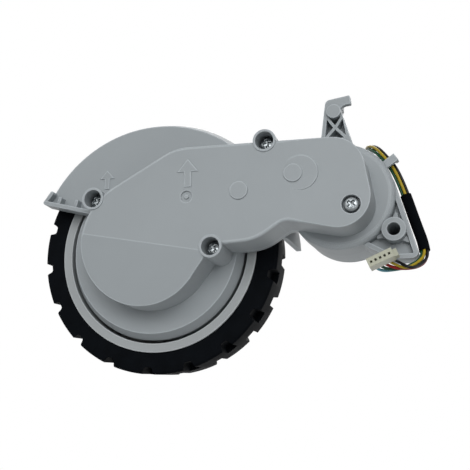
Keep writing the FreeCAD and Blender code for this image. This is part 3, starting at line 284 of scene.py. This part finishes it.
def mottledColour(tree, place, look):
    ramp = tree.nodes.new("ShaderNodeValToRGB")
    shades = (1 - look["mottle"], 1 + look["mottle"])
    for stop, position, shade in zip(ramp.color_ramp.elements, look["mottleRange"], shades):
        stop.position = position
        stop.color = (*[channel * shade for channel in look["colour"]], 1)
    tree.links.new(noiseOf(tree, place, look["mottleSize"], look["mottleDetail"]), ramp.inputs["Fac"])
    return ramp.outputs["Color"]


def makeMaterial(name, look):
    material = bpy.data.materials.new(name)
    material.use_nodes = True
    tree = material.node_tree
    shader = tree.nodes["Principled BSDF"]
    shader.inputs["Metallic"].default_value = look["metallic"]
    shader.inputs["Coat Weight"].default_value = look["coat"]
    shader.inputs["Specular IOR Level"].default_value = look["specular"]
    place = tree.nodes.new("ShaderNodeTexCoord").outputs["Object"]

    colour = mottledColour(tree, place, look)
    # Painted highlight along edges and creases, mixed into the base colour
    if look["edgeHighlight"]:
        colour = lightenEdges(tree, colour, look, paintedEdgeHighlight)
    tree.links.new(colour, shader.inputs["Base Color"])

    patches = noiseOf(tree, place, look["patchSize"], look["patchDetail"])
    smoothest, roughest = look["roughness"] - look["spread"], look["roughness"] + look["spread"]
    tree.links.new(spanOf(tree, patches, 0, 1, smoothest, roughest), shader.inputs["Roughness"])

    bump = tree.nodes.new("ShaderNodeBump")
    bump.inputs["Strength"].default_value = look["grain"]
    bump.inputs["Distance"].default_value = look["grainDepth"]
    if look["weave"]:
        height = weaveHeight(tree, place, crossWeave, look["weave"])
    else:
        height = noiseOf(tree, place, look["grainSize"], look["grainDetail"])
    tree.links.new(height, bump.inputs["Height"])
    if look["edge"]:
        tree.links.new(roundedNormal(tree, look["edge"], look["edgeSamples"]), bump.inputs["Normal"])
    tree.links.new(bump.outputs["Normal"], shader.inputs["Normal"])
    return material


# The shell plastics get a painted edge highlight: their colour is paler along convex edges and creases
shellLook = dict(plainLook, colour=(0.315, 0.345, 0.362), roughness=0.5, specular=0.4, spread=0.06,
                 mottle=0.03, mottleSize=0.03, grain=0.25, grainSize=0.00022, grainDepth=0.00002,
                 edge=0.0004, edgeHighlight=0.7, highlightReach=0.00042)
rimLook = dict(shellLook, colour=(0.330, 0.352, 0.360), roughness=0.42)
rubberLook = dict(plainLook, colour=(0.0022, 0.0030, 0.0042), roughness=0.62, specular=0.03, spread=0.1,
                  mottle=0.25, mottleSize=0.004, grain=0.5, grainSize=0.0005, grainDepth=0.00005,
                  edge=0.0003)
grommetLook = dict(rubberLook, edge=0)
sleeveLook = dict(rubberLook, roughness=0.8, edge=0, weave=0.0005, grain=0.8, grainDepth=0.00012)
steelLook = dict(plainLook, colour=(0.62, 0.62, 0.63), roughness=0.3, metallic=1.0, mottle=0.08,
                 mottleSize=0.002, grain=0.2, grainSize=0.0002, grainDepth=0.00001, edge=0.0001)
screwLook = dict(steelLook, colour=(0.24, 0.26, 0.27), roughness=0.24)
canLook = dict(steelLook, colour=(0.52, 0.52, 0.53), roughness=0.38)
bronzeLook = dict(steelLook, colour=(0.48, 0.30, 0.14), roughness=0.5, mottle=0.2, mottleSize=0.0008)
brassLook = dict(steelLook, colour=(0.72, 0.52, 0.22), roughness=0.28)
terminalLook = dict(steelLook, colour=(0.55, 0.53, 0.48))
gearLook = dict(plainLook, colour=(0.74, 0.72, 0.66), roughness=0.38, mottle=0.03, grain=0.1, edge=0.0001)
blackLook = dict(plainLook, colour=(0.018, 0.018, 0.02), roughness=0.45, mottle=0.1, grain=0.2,
                 edge=0.0002)
magnetLook = dict(plainLook, colour=(0.06, 0.06, 0.065), roughness=0.6, metallic=0.4, mottle=0.2,
                  mottleSize=0.001)
boardLook = dict(plainLook, colour=(0.015, 0.11, 0.04), roughness=0.25, coat=0.4, mottle=0.15,
                 mottleSize=0.002)
plugLook = dict(plainLook, colour=(0.40, 0.41, 0.32), roughness=0.4, mottle=0.05, mottleSize=0.003,
                edge=0.0002)
wireLook = dict(plainLook, roughness=0.35, specular=0.2, mottleSize=0.002, grain=0.1, grainSize=0.0004)

slotLooks = {
    "shell_plastic": shellLook, "rim_plastic": rimLook, "gear_plastic": gearLook,
    "black_plastic": blackLook, "plug_plastic": plugLook,
    "tyre": rubberLook, "grommet_rubber": grommetLook, "sleeve_cloth": sleeveLook,
    "steel": steelLook, "screw_steel": screwLook, "can_steel": canLook, "bronze": bronzeLook,
    "pinion_brass": brassLook, "terminal_metal": terminalLook,
    "magnet": magnetLook, "board": boardLook,
    "black_wire": dict(wireLook, colour=(0.003, 0.003, 0.004)),
    "red_wire": dict(wireLook, colour=(0.30, 0.012, 0.01)),
    "yellow_wire": dict(wireLook, colour=(0.42, 0.31, 0.02)),
    "green_wire": dict(wireLook, colour=(0.008, 0.065, 0.028)),
    "blue_wire": dict(wireLook, colour=(0.14, 0.36, 0.44)),
}
materials = {slot: makeMaterial(slot + "_look", look) for slot, look in slotLooks.items()}
for part in frame["record"]["subparts"]:
    mesh = nodes[part["node"]].data
    mesh.materials.clear()
    mesh.materials.append(materials[part["material_slot"]])
for wireName, wire in wireObjects.items():
    wire.data.materials.append(materials[wireSlot(wireName)])
print("materials made")


# Each item with the one after it, and the last with the first
def pairsRound(items):
    return zip(items, items[1:] + items[:1])


# Walls between two loops of as many corners
def joinLoops(mesh, near, far):
    for (here, there), (farHere, farThere) in zip(pairsRound(near), pairsRound(far)):
        mesh.faces.new((here, there, farThere, farHere))


def meshObject(name, mesh):
    bmesh.ops.recalc_face_normals(mesh, faces=mesh.faces)
    data = bpy.data.meshes.new(name)
    mesh.to_mesh(data)
    mesh.free()
    return addObject(name, data)


def smoothFaces(mesh):
    for face in mesh.polygons:
        face.use_smooth = True


# Tyre with two rows of notches, half a step apart, all as deep and as wide as the photograph's
tyreLook = {
    "radius": 0.0350, "taper": 0.0012, "rim": 0.0290, "front": 0.0005, "back": 0.0161,
    "lip": 0.0008, "lipSteps": 6, "rib": 0.0010, "ribWidth": 0.0024, "sides": 240, "sharpAngle": 30,
    "count": 18, "firstAngle": 165.7, "depth": 0.0020, "mouth": 0.0035, "floor": 0.0021,
    "corner": 0.0006, "cornerFlat": 0.7, "cornerRise": 0.2, "rowLength": 0.0070, "past": 0.0010,
}


def tyreOutline(look):
    middle = (look["front"] + look["back"]) / 2
    rim, half, lip = look["rim"], look["ribWidth"] / 2, look["lip"]
    angles = [math.radians(90 * step / look["lipSteps"]) for step in range(look["lipSteps"] + 1)]
    outline = [(rim, middle + half), (rim, look["back"])]
    outline += [(look["radius"] - look["taper"] - lip + lip * math.sin(angle),
                 look["back"] - lip + lip * math.cos(angle)) for angle in angles]
    outline += [(look["radius"] - lip + lip * math.cos(angle),
                 look["front"] + lip - lip * math.sin(angle)) for angle in angles]
    outline += [(rim, look["front"]), (rim, middle - half), (rim + look["rib"], middle - half),
                (rim + look["rib"], middle + half)]
    return outline


def ringMesh(mesh, outline, sides):
    rings = []
    for side in range(sides):
        angle = 2 * math.pi * side / sides
        rings.append([mesh.verts.new((reach * math.cos(angle), depth, reach * math.sin(angle)))
                      for reach, depth in outline])
    for ring, after in pairsRound(rings):
        joinLoops(mesh, ring, after)


# One notch as a prism that stands past the tread and past the tyre's side
def notchMesh(mesh, look, angle, near, far):
    out = Vector((math.cos(angle), 0, math.sin(angle)))
    along = Vector((-math.sin(angle), 0, math.cos(angle)))
    slope = (look["mouth"] - look["floor"]) / 2 / look["depth"]
    half, wide = look["floor"] / 2, look["mouth"] / 2 + slope * look["past"]
    corner, flat, rise = look["corner"], look["cornerFlat"], look["cornerRise"]
    ends = []
    for depth in (near, far):
        top = look["radius"] - look["taper"] * (depth - look["front"]) / (look["back"] - look["front"])
        low = top - look["depth"]
        side = [(half - corner * flat, low), (half - corner * rise, low + corner * rise),
                (half + slope * corner, low + corner), (wide, top + look["past"])]
        shape = side + [(-x, reach) for x, reach in reversed(side)]
        ends.append([mesh.verts.new(out * reach + along * x + Vector((0, depth, 0))) for x, reach in shape])
    mesh.faces.new(ends[0])
    mesh.faces.new(ends[1])
    joinLoops(mesh, *ends)


def makeTyre(look):
    carcass = bmesh.new()
    ringMesh(carcass, tyreOutline(look), look["sides"])
    tyre = meshObject("tread_tyre", carcass)
    notches = bmesh.new()
    rows = ((0.0, look["front"] - look["past"], look["front"] + look["rowLength"]),
            (0.5, look["back"] - look["rowLength"], look["back"] + look["past"]))
    for shift, near, far in rows:
        for number in range(look["count"]):
            angle = math.radians(look["firstAngle"] + 360 * (number + shift) / look["count"])
            notchMesh(notches, look, angle, near, far)
    cutter = meshObject("tread_notches", notches)
    cut = tyre.modifiers.new("notches", "BOOLEAN")
    cut.operation = "DIFFERENCE"
    cut.solver = "EXACT"
    cut.object = cutter
    shaped = bpy.data.meshes.new_from_object(tyre.evaluated_get(bpy.context.evaluated_depsgraph_get()))
    tyre.modifiers.clear()
    tyre.data = shaped
    bpy.data.objects.remove(cutter)
    smoothFaces(shaped)
    shaped.set_sharp_from_angle(angle=math.radians(look["sharpAngle"]))
    shaped.materials.clear()
    shaped.materials.append(materials["tyre"])
    return tyre


tyre = makeTyre(tyreLook)
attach(tyre, "wheel")
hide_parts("tyre")
print("tyre made")

# Screw heads with a cross recess
coverScrews = {
    "radius": 0.0019,
    "height": 0.0018,
    "dome": 0.0005,
    "domePower": 3,
    "recess": 0.0009,
    "recessRise": 0.35,  # share of its depth that the recess loses along an arm
    "arm": 0.00125,
    "armEnd": 0.0002,
    "slot": 0.00028,
    "slotWall": 0.00012,
    "rings": 22,
    "spokes": 64,
    "screws": [
        {"place": (-0.0144, 0.0126), "top": 0.0108, "turn": 20},
        {"place": (0.0198, -0.0030), "top": 0.0108, "turn": 35},
        {"place": (0.03475, 0.02515), "top": 0.0108, "turn": 10},
        {"place": (0.0575, 0.0060), "top": 0.0132, "turn": 50},
    ],
}


def headHeight(look, x, z):
    reach = math.hypot(x, z) / look["radius"]
    height = look["dome"] * (1 - reach ** look["domePower"])
    across = min(abs(x), abs(z))
    along = max(abs(x), abs(z))
    inside = max(0.0, 1 - max(0.0, across - look["slot"]) / look["slotWall"])
    fade = min(1.0, max(0.0, (look["arm"] - along) / look["armEnd"]))
    return height - look["recess"] * inside * fade * (1 - look["recessRise"] * along / look["arm"])


def makeScrewHead(name, look, screw):
    mesh = bmesh.new()
    placeX, placeZ = screw["place"]
    top, angle = screw["top"], math.radians(screw["turn"])
    grid = []
    for ring in range(1, look["rings"] + 1):
        reach = look["radius"] * ring / look["rings"]
        row = []
        for spoke in range(look["spokes"]):
            heading = 2 * math.pi * spoke / look["spokes"]
            x, z = reach * math.cos(heading), reach * math.sin(heading)
            turnedX = x * math.cos(angle) - z * math.sin(angle)
            turnedZ = x * math.sin(angle) + z * math.cos(angle)
            row.append(mesh.verts.new((placeX + turnedX, -top - headHeight(look, x, z), placeZ + turnedZ)))
        grid.append(row)
    skirt = [mesh.verts.new((vert.co.x, -top + look["height"], vert.co.z)) for vert in grid[-1]]
    grid.append(skirt)
    centre = mesh.verts.new((placeX, -top - headHeight(look, 0, 0), placeZ))
    for here, there in pairsRound(grid[0]):
        mesh.faces.new((centre, there, here))
    for inner, outer in zip(grid, grid[1:]):
        joinLoops(mesh, inner, outer)
    mesh.faces.new(skirt)
    obj = meshObject(name, mesh)
    obj.data.materials.append(materials["screw_steel"])
    smoothFaces(obj.data)
    return obj


for number, screw in enumerate(coverScrews["screws"], 1):
    head = makeScrewHead("screw_head_%d" % number, coverScrews, screw)
    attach(head, "housing")
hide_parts("cover_screws")
print("screw heads made")

# Plain raised arrows that show which way up the module goes
arrows = [
    {"name": "cover_arrow", "place": (0.0133, -0.0140, 0.0178), "width": 0.0060, "height": 0.0080},
    {"name": "fender_arrow", "place": (-0.0150, -0.0028, 0.0214), "width": 0.0046, "height": 0.0058},
]
arrowShape = {"shaft": 0.34, "head": 0.46, "raised": 0.00025, "sunk": 0.0010, "round": 0.00012,
              "roundSteps": 2}


# The outline is drawn in a square of side 1, then stretched to the arrow's width and height
def makeArrow(look, shape):
    shaft, head = shape["shaft"] / 2, 0.5 - shape["head"]
    outline = [(-shaft, -0.5), (shaft, -0.5), (shaft, head), (0.5, head), (0, 0.5), (-0.5, head),
               (-shaft, head)]
    mesh = bmesh.new()
    base = [mesh.verts.new((x * look["width"], shape["sunk"], z * look["height"])) for x, z in outline]
    face = mesh.faces.new(base)
    grown = bmesh.ops.extrude_face_region(mesh, geom=[face])
    for vert in grown["geom"]:
        if isinstance(vert, bmesh.types.BMVert):
            vert.co.y -= shape["sunk"] + shape["raised"]
    obj = meshObject(look["name"], mesh)
    obj.data.materials.append(materials["shell_plastic"])
    obj.location = look["place"]
    rounding = obj.modifiers.new("round", "BEVEL")
    rounding.width = shape["round"]
    rounding.segments = shape["roundSteps"]
    return obj


for look in arrows:
    arrow = makeArrow(look, arrowShape)
    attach(arrow, "housing")
print("arrows made")

# Floor, which looks white to the camera alone
floorLook = {"level": -0.12, "size": 0.45, "colour": (0.86, 0.86, 0.86, 1), "roughness": 0.7,
             "glow": 0.45, "glowColour": (1, 1, 1, 1)}


def makeFloor(look):
    bpy.ops.mesh.primitive_plane_add(size=look["size"], location=(0, 0, look["level"]))
    floor = bpy.context.object
    floor.name = "floor"
    material = bpy.data.materials.new("floor_look")
    material.use_nodes = True
    tree = material.node_tree
    shader = tree.nodes["Principled BSDF"]
    shader.inputs["Base Color"].default_value = look["colour"]
    shader.inputs["Roughness"].default_value = look["roughness"]
    shader.inputs["Emission Color"].default_value = look["glowColour"]
    rays = tree.nodes.new("ShaderNodeLightPath")
    glow = spanOf(tree, rays.outputs["Is Camera Ray"], 0, 1, high=look["glow"])
    tree.links.new(glow, shader.inputs["Emission Strength"])
    floor.data.materials.append(material)
    return floor


floor = makeFloor(floorLook)

# Soft lamps, all turned to the middle of the module
lampTarget = Vector((0.02, 0, 0))
lamps = [
    {"name": "key", "place": (0.34, -0.85, 0.30), "size": 0.6, "power": 5.0},
    {"name": "fill", "place": (-0.30, -0.70, 0.45), "size": 0.6, "power": 1.8},
    {"name": "back", "place": (0.05, 0.60, 0.40), "size": 0.5, "power": 2.0},
]


def makeLamp(look, target):
    data = bpy.data.lights.new(look["name"], "AREA")
    data.size = look["size"]
    data.energy = look["power"]
    light = addObject(look["name"], data)
    light.location = look["place"]
    aimAlong(light, target - light.location)


for lamp in lamps:
    makeLamp(lamp, lampTarget)

# World: white to the camera and in reflections, and faint as light
worldLook = {"colour": (1, 1, 1, 1), "light": 0.15, "seen": 1.0}


def makeWorld(look):
    world = bpy.data.worlds.new("studio")
    bpy.context.scene.world = world
    world.use_nodes = True
    tree = world.node_tree
    shader = tree.nodes["Background"]
    shader.inputs["Color"].default_value = look["colour"]
    rays = tree.nodes.new("ShaderNodeLightPath")
    white = bothOf(tree, "MAXIMUM", rays.outputs["Is Camera Ray"], rays.outputs["Is Glossy Ray"])
    tree.links.new(spanOf(tree, white, 0, 1, look["light"], look["seen"]), shader.inputs["Strength"])


makeWorld(worldLook)
bpy.context.scene.view_settings.view_transform = "Standard"
print("stage made")
